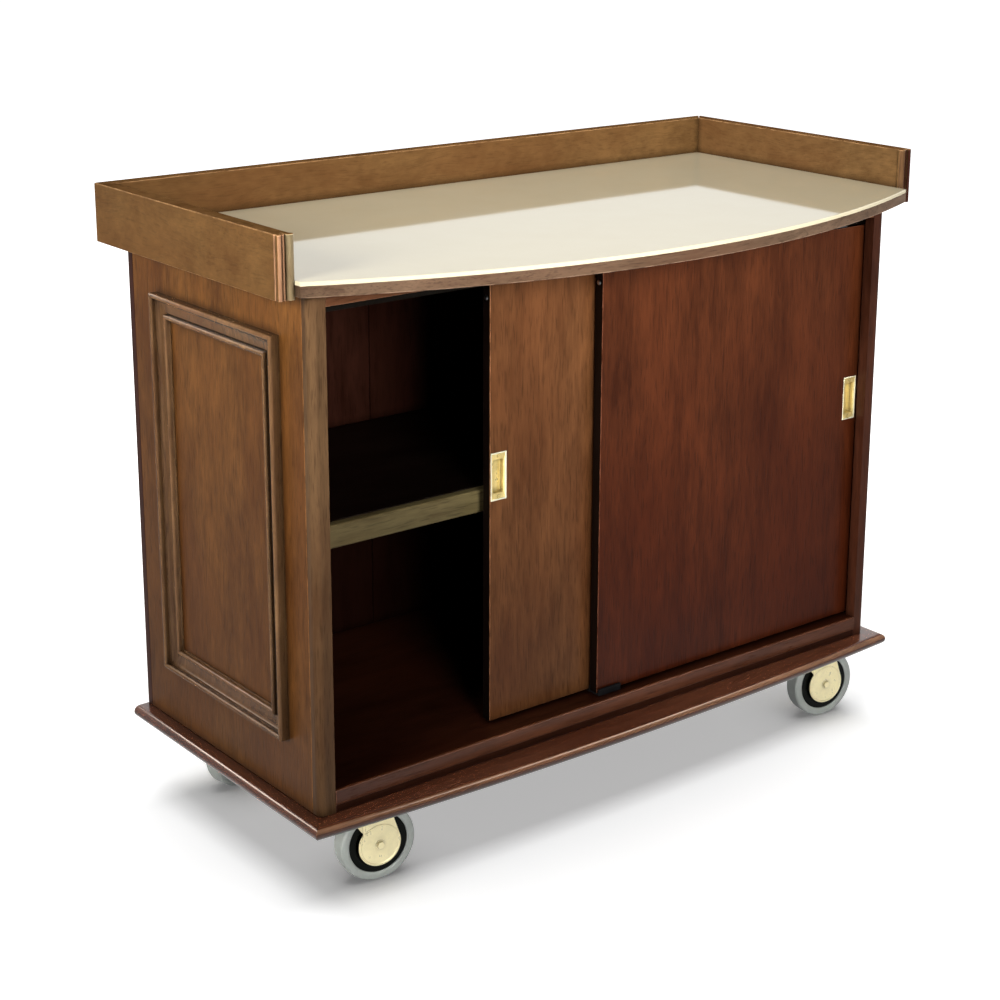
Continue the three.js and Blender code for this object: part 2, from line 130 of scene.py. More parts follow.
def inset(outline, distance):
    """A counterclockwise outline moved inward by distance, with mitred corners."""
    moved = []
    for i, (x, y) in enumerate(outline):
        ax, ay = outline[i - 1]
        bx, by = outline[(i + 1) % len(outline)]
        a, b = Vector((x - ax, y - ay)).normalized(), Vector((bx - x, by - y)).normalized()
        a, b = Vector((-a.y, a.x)), Vector((-b.y, b.x))
        step = distance / (1 + a.dot(b))
        moved.append((x + (a.x + b.x) * step, y + (a.y + b.y) * step))
    return moved


def soft_rings(low, high, upper, lower=None, steps=3):
    """(inset, height) pairs up the side of a slab with rounded upper and lower edges."""
    lower = upper if lower is None else lower
    rings = []
    for i in range(steps + 1):
        a = math.pi / 2 * i / steps
        rings.append((lower * (1 - math.sin(a)), low + lower * (1 - math.cos(a))))
    for i in range(steps + 1):
        a = math.pi / 2 * i / steps
        rings.append((upper * (1 - math.cos(a)), high - upper * (1 - math.sin(a))))
    return rings


ALONG = {
    "z": lambda p: p,
    "x": lambda p: (p[2], p[0], p[1]),
    "y": lambda p: (p[0], p[2], p[1]),
}


def slab(name, outline, rings, along="z", turn=None):
    """A solid over an outline, with one inset outline for each (inset, height)."""
    chains = [[(*p, height) for p in inset(outline, step)] for step, height in rings]
    pairs = enumerate(zip(rings, rings[1:]))
    # Rounded rings are marked for the lighter edge colour: rubbed wear and painted highlight.
    worn_and_highlit = {i for i, (a, b) in pairs if abs(a[0] - b[0]) > SAME_POINT and abs(a[1] - b[1]) > SAME_POINT}
    place = ALONG[along]
    return loft(name, chains, turn=(lambda p: turn(place(p))) if turn else place, worn_and_highlit_rows=worn_and_highlit)


def rectangle(x0, x1, y0, y1, radius=0.0, steps=4):
    """A counterclockwise rectangle with rounded corners."""
    if radius <= 0:
        return [(x0, y0), (x1, y0), (x1, y1), (x0, y1)]
    outline = []
    corners = ((x1 - radius, y0 + radius, -90), (x1 - radius, y1 - radius, 0),
               (x0 + radius, y1 - radius, 90), (x0 + radius, y0 + radius, 180))
    for x, y, start in corners:
        for i in range(steps + 1):
            a = math.radians(start + 90 * i / steps)
            outline.append((x + radius * math.cos(a), y + radius * math.sin(a)))
    return outline


def circle(x, y, radius, count=48, start=0.0, sweep=360.0):
    """Points round a circle, or along an arc with both its ends. Angles are in degrees."""
    total = count if sweep >= 360 else count - 1
    angles = [math.radians(start + sweep * i / total) for i in range(count)]
    return [(x + radius * math.cos(a), y + radius * math.sin(a)) for a in angles]


def board(name, low, high, edge, along="z", corner=0.0):
    """A board between two corners, with softened edges."""
    u, v, w = {"z": (0, 1, 2), "x": (1, 2, 0), "y": (0, 2, 1)}[along]
    outline = rectangle(low[u], high[u], low[v], high[v], corner)
    return slab(name, outline, soft_rings(low[w], high[w], edge), along)


def turned(name, profile, turn, count=64):
    """A closed (radius, height) profile turned about the local Z axis, then put in place by turn."""
    chains = [[(x, y, height) for x, y in circle(0, 0, radius, count)] for radius, height in profile]
    return loft(name, chains, ring=True, turn=turn)


def refine(node, name, width, segments=2, pick=None):
    """A CAD node's own shape with its edges rounded."""
    form = bmesh.new()
    form.from_mesh(nodes[node].data)
    bmesh.ops.remove_doubles(form, verts=form.verts, dist=1e-5)
    bmesh.ops.dissolve_limit(form, angle_limit=math.radians(0.2), verts=form.verts, edges=form.edges)
    form.edges.index_update()
    edges = [e for e in form.edges if len(e.link_faces) == 2 and e.calc_face_angle() > EDGE_ANGLE]
    if pick:
        edges = [e for e in edges if pick(e)]
    # A new layer makes the found edges stale, so they are looked up again by number.
    numbers = [e.index for e in edges]
    # Rounded faces are marked for the lighter edge colour: rubbed wear and painted highlight.
    mark = form.faces.layers.float.new("wear")
    form.edges.ensure_lookup_table()
    edges = [form.edges[i] for i in numbers]
    cut = bmesh.ops.bevel(form, geom=edges, offset=width, segments=segments, profile=0.5, affect="EDGES",
                          clamp_overlap=True)
    for face in cut["faces"]:
        face[mark] = 1.0
    return placed(name, form)


def join(name, pieces):
    """Several made pieces as one object."""
    form = bmesh.new()
    for piece in pieces:
        old = piece.data
        form.from_mesh(old)
        bpy.data.objects.remove(piece)
        bpy.data.meshes.remove(old)
    return placed(name, form)


def in_mm(pairs):
    """Pairs of numbers in millimetres as pairs in metres."""
    return [(a * MM, b * MM) for a, b in pairs]


# ---- materials ----
WHITE = (1.0, 1.0, 1.0, 1.0)


def linear(red, green, blue):
    """A display colour, 0 to 255, as linear light."""
    def channel(v):
        v /= 255
        return v / 12.92 if v <= 0.04045 else ((v + 0.055) / 1.055) ** 2.4
    return (channel(red), channel(green), channel(blue), 1.0)


def tones(red, green, blue, spread=0.45):
    """Dark, middle and light streak colours around one display colour."""
    middle = linear(red, green, blue)
    dark = [c * (1 - spread) ** power for c, power in zip(middle, (0.9, 1.05, 1.15))]
    return (*dark, 1.0), middle, shade(middle, 1 + spread)


def shade(colour, factor, lift=0.0):
    """A colour made darker or lighter by one factor, or by one for each channel."""
    factors = factor if isinstance(factor, tuple) else (factor,) * 3
    return (*(min(1.0, c * f + lift) for c, f in zip(colour, factors)), 1.0)


class Graph:
    """A node tree, built up call by call."""

    def __init__(self, tree):
        self.tree = tree

    def put(self, socket, value):
        if isinstance(value, bpy.types.NodeSocket):
            self.tree.links.new(value, socket)
        else:
            socket.default_value = value

    def node(self, kind, inputs, **settings):
        made = self.tree.nodes.new("ShaderNode" + kind)
        for key, value in settings.items():
            setattr(made, key, value)
        for key, value in inputs.items():
            self.put(made.inputs[key], value)
        return made

    def place(self, seed=(0, 0, 0)):
        spot = self.node("TexCoord", {}).outputs["Object"]
        return self.node("VectorMath", {0: spot, 1: seed}, operation="ADD").outputs[0]

    def scaled(self, vector, scale):
        return self.node("VectorMath", {0: vector, 1: scale}, operation="MULTIPLY").outputs[0]

    def shifted(self, vector, colour, amount):
        centred = self.node("VectorMath", {0: colour, 1: (0.5, 0.5, 0.5)}, operation="SUBTRACT").outputs[0]
        step = self.scaled(centred, amount)
        return self.node("VectorMath", {0: vector, 1: step}, operation="ADD").outputs[0]

    def noise(self, vector, scale, detail=2.0, rough=0.5, output=0):
        """Noise with about scale features to the metre. Output 0 is its value and 1 its colour."""
        made = self.node("TexNoise", {"Vector": vector, "Scale": scale, "Detail": detail, "Roughness": rough})
        return made.outputs[output]

    def math(self, operation, a, b):
        return self.node("Math", {0: a, 1: b}, operation=operation).outputs[0]

    def span(self, value, low, high, to_low=0.0, to_high=1.0):
        """A value between low and high as one between to_low and to_high, held at both ends."""
        inputs = {"Value": value, "From Min": low, "From Max": high, "To Min": to_low, "To Max": to_high}
        return self.node("MapRange", inputs, clamp=True).outputs[0]

    def ramp(self, value, stops):
        made = self.node("ValToRGB", {0: value})
        keys = made.color_ramp.elements
        while len(keys) < len(stops):
            keys.new(0.5)
        for key, (position, colour) in zip(keys, stops):
            key.position = position
            key.color = colour
        return made.outputs[0]

    def mix(self, factor, a, b, blend="MIX"):
        return self.node("Mix", {0: factor, 6: a, 7: b}, data_type="RGBA", blend_type=blend).outputs[2]

    def bump(self, height, distance, strength=1.0):
        inputs = {"Height": height, "Distance": distance, "Strength": strength}
        return self.node("Bump", inputs).outputs[0]


class Finish(Graph):
    """A material's node tree, with its shader."""

    def __init__(self, name):
        self.material = bpy.data.materials.new(name)
        self.material.use_nodes = True
        super().__init__(self.material.node_tree)
        self.shader = self.tree.nodes["Principled BSDF"]

    def finish(self, **sockets):
        for key, value in sockets.items():
            self.put(self.shader.inputs[key.replace("_", " ")], value)
        return self.material


def wood(name, axis, streaks, seed=0.0, gloss=0.36, coat=0.03, pores=0.4, figure=0.03, shine=0.14, streak=0.16,
         corner_shade=0.75, nook_size=0.014, shade_below=None):
    """Lacquered veneer with the grain along axis. streaks are its dark, middle and light colours.

    figure is how far the grain wanders and streak how long its lines are, where 1 is not drawn out at all.
    corner_shade is the painted shade in corners, creases and joints, as far as nook_size from them.
    shade_below is (low, high, tint), painted shade towards the bottom: below the height low the colour is tinted
    fully, above high not at all.
    """
    g = Finish(name)
    along = "xyz".index(axis)

    def stretch(ratio):
        scale = [1.0, 1.0, 1.0]
        scale[along] = ratio
        return scale

    spot = g.place((seed * 0.73, seed * 1.31, seed * 0.57))
    drift = g.noise(g.scaled(spot, stretch(0.4)), 4.5, 2.0, 0.5, output=1)
    wandering = g.shifted(spot, drift, (figure, figure, figure))
    broad = g.noise(g.scaled(wandering, stretch(streak * 1.3)), 20.0, 3.0, 0.6)
    narrow = g.noise(g.scaled(wandering, stretch(streak)), 80.0, 4.0, 0.65)
    fine = g.noise(g.scaled(wandering, stretch(0.06)), 300.0, 3.0, 0.7)
    mottle = g.noise(g.scaled(spot, stretch(0.5)), 7.0, 4.0, 0.55)
    dashes = g.noise(g.scaled(wandering, stretch(0.07)), 420.0, 1.0, 0.5)
    tone = g.math("ADD", g.math("MULTIPLY", broad, 0.32), g.math("MULTIPLY", narrow, 0.3))
    tone = g.math("ADD", tone, g.math("MULTIPLY", fine, 0.12))
    tone = g.math("ADD", tone, g.math("MULTIPLY", mottle, 0.26))
    tone = g.span(tone, 0.4, 0.6)
    dark, middle, light = streaks
    colour = g.ramp(tone, [(0.0, dark), (0.5, middle), (1.0, light)])
    patchy = g.span(g.noise(g.scaled(spot, stretch(0.5)), 4.2, 3.0, 0.6), 0.4, 0.64)
    colour = g.mix(g.math("MULTIPLY", patchy, 0.5), colour, shade(middle, (0.88, 0.68, 0.62)))
    # Painted shade: below a given height the colour is multiplied by a darker tint.
    if shade_below:
        low, high, tint = shade_below
        height = g.node("SeparateXYZ", {0: g.place()}).outputs["Z"]
        colour = g.mix(g.span(height, low, high, 1.0, 0.0), colour, (*tint, 1.0), "MULTIPLY")
    pore = g.span(dashes, 0.56, 0.68)
    colour = g.mix(g.math("MULTIPLY", pore, pores), colour, shade(dark, 0.4))
    # Rubbed wear and painted highlight: rounded edge faces are mixed, in patches, towards a much lighter wood.
    rub_and_highlight = g.node("Attribute", {}, attribute_name="wear").outputs["Fac"]
    patch = g.span(g.noise(spot, 45.0, 3.0, 0.6), 0.35, 0.6)
    worn_and_highlit = g.math("MULTIPLY", g.math("MULTIPLY", rub_and_highlight, patch), 0.6)
    colour = g.mix(worn_and_highlit, colour, shade(light, 2.2, 0.03))
    # Painted shade: the colour darkens towards a near-black brown wherever ambient occlusion finds surfaces close by,
    # in corners, creases and joints.
    nook = g.node("AmbientOcclusion", {"Distance": nook_size}, samples=4).outputs["AO"]
    stain_and_shade = g.math("MULTIPLY", g.span(nook, 0.45, 0.95, 1.0, 0.0), corner_shade)
    colour = g.mix(stain_and_shade, colour, shade(dark, 0.12))
    sheen = g.math("ADD", g.math("MULTIPLY", mottle, 0.16), g.math("MULTIPLY", fine, 0.1))
    rough = g.math("ADD", sheen, gloss - 0.13)
    relief = g.math("SUBTRACT", g.math("MULTIPLY", fine, 0.35), g.math("MULTIPLY", pore, 0.5))
    return g.finish(Base_Color=colour, Roughness=rough, Normal=g.bump(relief, 0.0004, 0.5),
                    Coat_Weight=coat, Coat_Roughness=0.14, Specular_IOR_Level=shine)


def metal(name, colour, rough, brushed=(1.0, 1.0, 0.05), stain_and_shade=0.25, metallic=1.0):
    """Plated metal with fine brushing, smudges, small stains and painted shade in its recesses."""
    g = Finish(name)
    spot = g.place()
    brush = g.noise(g.scaled(spot, brushed), 1400.0, 2.0, 0.6)
    smudge = g.noise(spot, 60.0, 4.0, 0.6)
    tint = g.mix(g.span(smudge, 0.4, 0.7), colour, shade(colour, 1 - stain_and_shade))
    # Painted shade: the colour darkens towards near black in recesses, where ambient occlusion finds surfaces close
    # by.
    nook = g.node("AmbientOcclusion", {"Distance": 0.01}, samples=4).outputs["AO"]
    recess_shade = (*(0.15 * c * c for c in colour[:3]), 1.0)
    tint = g.mix(g.span(nook, 0.4, 0.95, 0.8, 0.0), tint, recess_shade)
    shine = g.math("ADD", g.math("MULTIPLY", smudge, 0.16), g.math("MULTIPLY", brush, 0.08))
    return g.finish(Base_Color=tint, Metallic=metallic, Roughness=g.math("ADD", shine, rough - 0.12),
                    Normal=g.bump(brush, 0.00006, 0.6))


def moulded(name, colour, rough, grain=900.0, relief=0.00008, dust=0.3, pale=None, shine=0.5):
    """Moulded plastic or rubber: a fine grain and a little dust."""
    g = Finish(name)
    spot = g.place()
    fine = g.noise(spot, grain, 2.0, 0.6)
    cloud = g.noise(spot, 24.0, 4.0, 0.6)
    pale = pale or shade(colour, 1.5, 0.03)
    tint = g.mix(g.math("MULTIPLY", g.span(cloud, 0.42, 0.72), dust), colour, pale)
    haze = g.math("ADD", g.math("MULTIPLY", cloud, 0.2), g.math("MULTIPLY", fine, 0.08))
    return g.finish(Base_Color=tint, Roughness=g.math("ADD", haze, rough - 0.14),
                    Normal=g.bump(fine, relief, 0.6), Specular_IOR_Level=shine)


def solid_surface(name, colour):
    """Glossy cream solid surface with the faintest mottling and polishing marks."""
    g = Finish(name)
    spot = g.place()
    cloud = g.noise(spot, 9.0, 4.0, 0.55)
    speck = g.noise(spot, 700.0, 1.0, 0.5)
    tint = g.mix(g.span(cloud, 0.35, 0.7), colour, shade(colour, (0.98, 0.97, 0.95)))
    tint = g.mix(g.math("MULTIPLY", g.span(speck, 0.62, 0.72), 0.35), tint, shade(colour, 0.88))
    marks = g.noise(g.scaled(spot, (1.0, 0.15, 1.0)), 60.0, 5.0, 0.7)
    rough = g.math("ADD", g.math("MULTIPLY", marks, 0.06), 0.02)
    return g.finish(Base_Color=tint, Roughness=rough, Normal=g.bump(cloud, 0.0001, 0.05), IOR=1.5)


RAIL = tones(106, 77, 44, 0.28)
RAIL_RIGHT = tones(101, 75, 46, 0.28)
RAIL_BACK = tones(93, 68, 40, 0.28)
# The rail tops' darker tone is painted shade.
RAIL_TOP_SHADED = tones(92, 66, 38)
# The bead and nose tones, lighter and greyer than the rail wood, are painted highlight and painted sheen.
RAIL_BEAD = tones(150, 112, 84)
RAIL_NOSE = tones(132, 120, 92)
EDGING = tones(94, 75, 60)
SIDE = tones(112, 73, 34)
STILE = tones(92, 69, 47)
STILE_RIGHT = tones(66, 36, 24)
MOULD = tones(90, 66, 43)
DOOR_LEFT = tones(90, 57, 33)
DOOR_RIGHT = tones(72, 37, 19)
LIPPING = tones(90, 81, 55)
# The floor wood is a dark reddish brown, darkened further as painted shade for the floor inside the lower
# compartment.
FLOOR = tones(47, 22, 12)
FLOOR_LIP = tones(76, 45, 30)
BASE = tones(70, 39, 26)
# The base nose's lighter tan is a painted highlight along the upper front of the bullnose.
BASE_NOSE = tones(106, 76, 56)
REAR_EDGE = tones(58, 31, 23)
REAR_FACE = tones(84, 52, 34)
HEADER = tones(92, 60, 40)
INSIDE = tones(40, 20, 14)
# UNDER is a near-black copy of the inside wood: painted shade on the level inner boards, the cleats and the door
# edges.
UNDER = tones(14, 8, 6)

SOFT = {"figure": 0.12, "streak": 0.5, "pores": 0.2, "shine": 0.08, "coat": 0.0}
FLAT = {**SOFT, "shine": 0.0}
LACQUER = {"gloss": 0.24, "coat": 0.8, "shine": 0.2}
BARE = {"gloss": 0.5, "coat": 0.0}
rail_x = wood("rail_wood_x", "x", RAIL_BACK, 1.0, **SOFT)
rail_y = wood("rail_wood_y", "y", RAIL, 2.0, **SOFT)
rail_y_right = wood("rail_wood_y_right", "y", RAIL_RIGHT, 18.0, **SOFT)
rail_edge_x = wood("rail_edge_x", "x", RAIL_TOP_SHADED, 20.0, **FLAT)
rail_edge_y = wood("rail_edge_y", "y", RAIL_TOP_SHADED, 21.0, **FLAT)
bead_z = wood("rail_bead", "z", RAIL_BEAD, 24.0, gloss=0.25, coat=0.5)
nose_z = wood("rail_nose", "z", RAIL_NOSE, 25.0, gloss=0.25, coat=0.5)
edging_x = wood("edging_wood_x", "x", EDGING, 19.0)
# The side veneer is darker and less orange lower down: painted shade.
side_z = wood("side_veneer", "z", SIDE, 3.0, streak=0.3, figure=0.06, shade_below=(0.84, 0.95, (0.74, 0.74, 0.86)))
stile_z = wood("stile_wood", "z", STILE, 4.0)
stile_right_z = wood("stile_wood_right", "z", STILE_RIGHT, 22.0)
# The moulding gets strong painted shade in its cove and along its edges.
mould_z = wood("moulding_wood", "z", MOULD, 5.0, gloss=0.24, coat=0.35, corner_shade=0.95, nook_size=0.03)
lip_x = wood("floor_lipping", "x", FLOOR_LIP, 16.0, gloss=0.3, coat=0.3, corner_shade=0.1)
rear_z = wood("rear_edge_wood", "z", REAR_EDGE, 17.0)
rear_face_z = wood("rear_face_wood", "z", REAR_FACE, 26.0)
header_x = wood("header_wood", "x", HEADER, 6.0)
door_left_z = wood("door_left_veneer", "z", DOOR_LEFT, 7.0)
# The right door is darker and redder towards the bottom: painted shade.
door_right_z = wood("door_right_veneer", "z", DOOR_RIGHT, 8.0, shade_below=(0.3, 0.95, (0.89, 0.64, 0.56)))
lipping_x = wood("shelf_edge_wood", "x", LIPPING, 9.0)
floor_x = wood("floor_wood", "x", FLOOR, 10.0)
base_x = wood("base_wood_x", "x", BASE, 11.0, **LACQUER, corner_shade=0.1)
base_nose_x = wood("base_nose_x", "x", BASE_NOSE, 27.0, **{**LACQUER, "gloss": 0.3})
base_y = wood("base_wood_y", "y", BASE, 12.0, **LACQUER)
inside_x = wood("inside_wood_x", "x", UNDER, 13.0, **BARE)
# The inside wood is darkened below the shelf: painted shade in the lower compartment.
inside_z = wood("inside_wood_z", "z", INSIDE, 14.0, **BARE, shade_below=(0.5, 0.58, (0.42, 0.42, 0.42)))
edge_z = wood("door_edge_wood", "z", UNDER, 23.0, **BARE)
inside_y = wood("inside_wood_y", "y", UNDER, 15.0, **BARE)
cream = solid_surface("cream_top", (0.665, 0.605, 0.435, 1.0))
brass = metal("brass", (1.0, 0.8, 0.33, 1.0), 0.3, metallic=0.7)
# The paler rim brass is a painted highlight.
brass_rim = metal("brass_rim", (1.0, 0.95, 0.7, 1.0), 0.24, stain_and_shade=0.1, metallic=0.5)
caster_brass = metal("caster_brass", (1.0, 0.89, 0.54, 1.0), 0.3, stain_and_shade=0.1, metallic=0.5)
steel = metal("plated_steel", (0.62, 0.63, 0.64, 1.0), 0.3)
bronze = metal("bronze_track", (0.035, 0.028, 0.022, 1.0), 0.45, brushed=(0.03, 1.0, 1.0))
black_nylon = moulded("black_nylon", (0.006, 0.006, 0.007, 1.0), 0.42, dust=0.15, shine=0.12)
roller_nylon = moulded("roller_nylon", (0.02, 0.02, 0.022, 1.0), 0.45)
core_plastic = moulded("wheel_core", (0.004, 0.005, 0.004, 1.0), 0.3, dust=0.1, pale=(0.02, 0.02, 0.02, 1.0),
                       shine=0.08)
tyre_rubber = moulded("grey_tyre", (0.32, 0.345, 0.33, 1.0), 0.5, grain=500.0, relief=0.0001)


def settle(piece, body, slot, material, *stands_for):
    """Gives a piece its finish, its body and the CAD nodes it stands for. The slot is not used."""
    materials = material if isinstance(material, (list, tuple)) else [material]
    for entry in materials:
        piece.data.materials.append(entry)
    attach(piece, body)
    if stands_for:
        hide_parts(*stands_for)


def paint(piece, index, picked):
    """Gives the faces that picked says yes to the piece's material number index."""
    for face in piece.data.polygons:
        if picked(face):
            face.material_index = index


# ---- worktop and rail ----
def bowed(half, back, corner, bow, steps=96):
    """Counterclockwise plan outline: straight sides and back, bowed front."""
    outline = []
    for i in range(steps + 1):
        u = -1 + 2 * i / steps
        outline.append((half * u, corner - bow * (1 - u * u)))
    return outline + [(half, back), (-half, back)]


top_low, top_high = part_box("worktop_surface")
board_low, board_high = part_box("worktop_board")
TOP_CORNER = -211 * MM
top_outline = bowed(top_high.x, top_high.y, TOP_CORNER, TOP_CORNER - top_low.y)
worktop = slab("worktop_sheet", top_outline, soft_rings(top_low.z, top_high.z, 2.0 * MM, 0.2 * MM, steps=5))
settle(worktop, "cabinet", "cream_top", cream, "worktop_surface")
edging = slab("worktop_edging", top_outline, soft_rings(board_low.z, board_high.z, 0.4 * MM, 1.6 * MM))
settle(edging, "cabinet", "rail_wood", edging_x, "worktop_board")

rail_low, rail_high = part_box("rail_right")
back_low, back_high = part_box("rail_back")
RAIL_THICK = 25 * MM
NOSE_DEEP = 11 * MM  # How far the rail's rounded nose reaches from its inner face.


def rail_plan(outer, inner, back, front):
    """Right-hand rail board in plan: a nose and two beads at the front, mitred at the back."""
    nose, thin, bead = 7.0 * MM, 2.1 * MM, 3.8 * MM
    nose_middle, gap, step = 3.6 * MM, 1.1 * MM, 0.2 * MM
    nose_back, thin_back, bead_back, groove = (front + depth * MM for depth in (9, 8, 7, 12))
    outline = [(inner, nose_back + 5 * MM)]

    def half_round(centre, radius, depth, reach=math.pi):
        for i in range(13):
            a = math.pi + reach * i / 12
            outline.append((centre + radius * math.cos(a), depth + radius * math.sin(a)))

    half_round(inner + nose_middle, nose, nose_back)
    edge = inner + nose_middle + nose
    outline.append((edge + step, groove))
    half_round(edge + gap + thin, thin, thin_back)
    edge += gap + 2 * thin
    outline += [(edge + step, groove), (outer - 2 * bead - step, groove)]
    half_round(outer - bead, bead, bead_back, 1.15 * math.pi)
    outline += [(outer - 1.2 * MM, front + 12.5 * MM), (outer, front + 14.5 * MM)]
    return outline + [(outer, back), (inner, back - RAIL_THICK)]


rail_inner = rail_high.x - RAIL_THICK
rail_outline = rail_plan(rail_high.x, rail_inner, rail_high.y, rail_low.y)
rail_rings = soft_rings(rail_low.z, rail_high.z, 1.6 * MM, 1.0 * MM)
right_rail = slab("gallery_right", rail_outline, rail_rings)
left_rail = slab("gallery_left", [(-x, y) for x, y in reversed(rail_outline)], rail_rings)
# The back board's mitre is a little short, so that it runs into the side boards and no light shows between them.
mitre = RAIL_THICK - 2.0 * MM
rear_outline = [(back_low.x, back_high.y), (back_low.x + mitre, back_high.y - RAIL_THICK),
                (back_high.x - mitre, back_high.y - RAIL_THICK), (back_high.x, back_high.y)]
rear_rail = slab("gallery_back", rear_outline, rail_rings)
settle(right_rail, "cabinet", "rail_wood", [rail_y_right, rail_edge_y, rear_z, stile_z], "rail_right")
settle(left_rail, "cabinet", "rail_wood", [rail_y, rail_edge_y, bead_z, nose_z], "rail_left")
settle(rear_rail, "cabinet", "rail_wood", [rail_x, rail_edge_x], "rail_back")
# The left rail's beads and nose take lighter, greyer copies of the rail wood: painted highlight and painted sheen.
# The right rail's front end is darkened with the rear-edge wood and its nose takes the stile wood.
for rail in (right_rail, left_rail):
    paint(rail, 2, lambda face: face.normal.y < -0.3 and abs(face.normal.z) < 0.5)
    paint(rail, 3, lambda face: face.material_index == 2 and abs(face.center.x) < rail_inner + NOSE_DEEP)
# Painted shade: the rail tops take a darker copy of the rail wood.
for rail in (right_rail, left_rail, rear_rail):
    paint(rail, 1, lambda face: face.normal.z > 0.95)


# ---- carcass ----
def on_hull(node):
    """Picks the edges that lie on two faces of a node's box."""
    low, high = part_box(node)

    def pick(edge):
        middle = (edge.verts[0].co + edge.verts[1].co) / 2
        return sum(min(abs(middle[i] - low[i]), abs(middle[i] - high[i])) < 2e-5 for i in range(3)) >= 2
    return pick


STILE_RADIUS = 13 * MM
for side, sign in (("left", -1), ("right", 1)):
    panel = refine(f"side_panel_{side}", f"side_board_{side}", 1.1 * MM)
    settle(panel, "cabinet", "side_veneer", [side_z, inside_z], f"side_panel_{side}")
    paint(panel, 1, lambda face: face.normal.x * sign < -0.9)

    low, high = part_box(f"stile_{side}")
    if sign > 0:
        outline = [(low.x, low.y)]
        outline += circle(high.x - STILE_RADIUS, low.y + STILE_RADIUS, STILE_RADIUS, 12, -90, 90)
        outline += [(high.x, high.y), (low.x, high.y)]
    else:
        outline = [(low.x, high.y)]
        outline += circle(low.x + STILE_RADIUS, low.y + STILE_RADIUS, STILE_RADIUS, 12, 180, 90)
        outline += [(high.x, low.y), (high.x, high.y)]
    stile = slab(f"corner_stile_{side}", outline, soft_rings(low.z, high.z, 0.4 * MM))
    settle(stile, "cabinet", "stile_wood", stile_z if sign < 0 else stile_right_z, f"stile_{side}")

    panel_low, panel_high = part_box(f"side_panel_{side}")
    outer = panel_high.x if sign > 0 else panel_low.x
    strip = sorted((outer + sign * 0.4 * MM, outer - sign * 9 * MM))
    strip_low = Vector((strip[0], panel_high.y - 17 * MM, panel_low.z + 0.5 * MM))
    strip_high = Vector((strip[1], panel_high.y, rail_low.z - 0.5 * MM))
    rear = board(f"rear_edge_{side}", strip_low, strip_high, 0.5 * MM, "z", 2.5 * MM)
    settle(rear, "cabinet", "base_wood", rear_z)

settle(refine("header_rail", "head_rail", 1.0 * MM), "cabinet", "header_wood", header_x, "header_rail")
settle(refine("floor_panel", "bottom_board", 1.5 * MM, 3), "cabinet", "floor_wood", floor_x, "floor_panel")
low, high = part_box("floor_panel")
lip_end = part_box("stile_right")[0].x - 0.4 * MM
lip_low = Vector((-lip_end, low.y - 1.2 * MM, high.z - 25 * MM))
lip_high = Vector((lip_end, low.y + 6 * MM, high.z + 0.3 * MM))
settle(board("bottom_lipping", lip_low, lip_high, 0.4 * MM, "x", 2.4 * MM), "cabinet", "floor_wood", lip_x)
# The sub top, shelf and cleats take the near-black inside wood: painted shade.
settle(refine("sub_top", "top_board", 0.5 * MM), "cabinet", "inside_wood", inside_x, "sub_top")
settle(refine("shelf", "shelf_board", 0.6 * MM), "cabinet", "inside_wood", inside_x, "shelf")
for side in ("left", "right"):
    cleat = refine(f"shelf_cleat_{side}", f"cleat_{side}", 1.2 * MM)
    settle(cleat, "cabinet", "inside_wood", inside_y, f"shelf_cleat_{side}")
edge_low, edge_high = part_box("shelf_edge")
settle(board("shelf_lipping", edge_low, edge_high, 0.6 * MM, "x", 3 * MM), "cabinet", "shelf_edge_wood",
       lipping_x, "shelf_edge")


def grooved_back():
    """The back's vertical boards, with a V joint between each two: deeper inside than behind."""
    low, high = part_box("back_panel")
    joint, count = 1.6 * MM, 8
    outline = [(low.x, low.y)]
    for i in range(1, count):
        x = low.x + (high.x - low.x) * i / count
        outline += [(x - joint, low.y), (x, low.y + 1.4 * joint), (x + joint, low.y)]
    outline += [(high.x, low.y), (high.x, high.y)]
    for i in range(1, count):
        x = high.x - (high.x - low.x) * i / count
        outline += [(x + 0.5 * joint, high.y), (x, high.y - 0.7 * joint), (x - 0.5 * joint, high.y)]
    outline += [(low.x, high.y)]
    return slab("back_boards", outline, [(0.0, low.z), (0.0, high.z)])


back_boards = grooved_back()
settle(back_boards, "cabinet", "inside_wood", [inside_z, rear_face_z], "back_panel")
paint(back_boards, 1, lambda face: face.normal.y > 0.5)


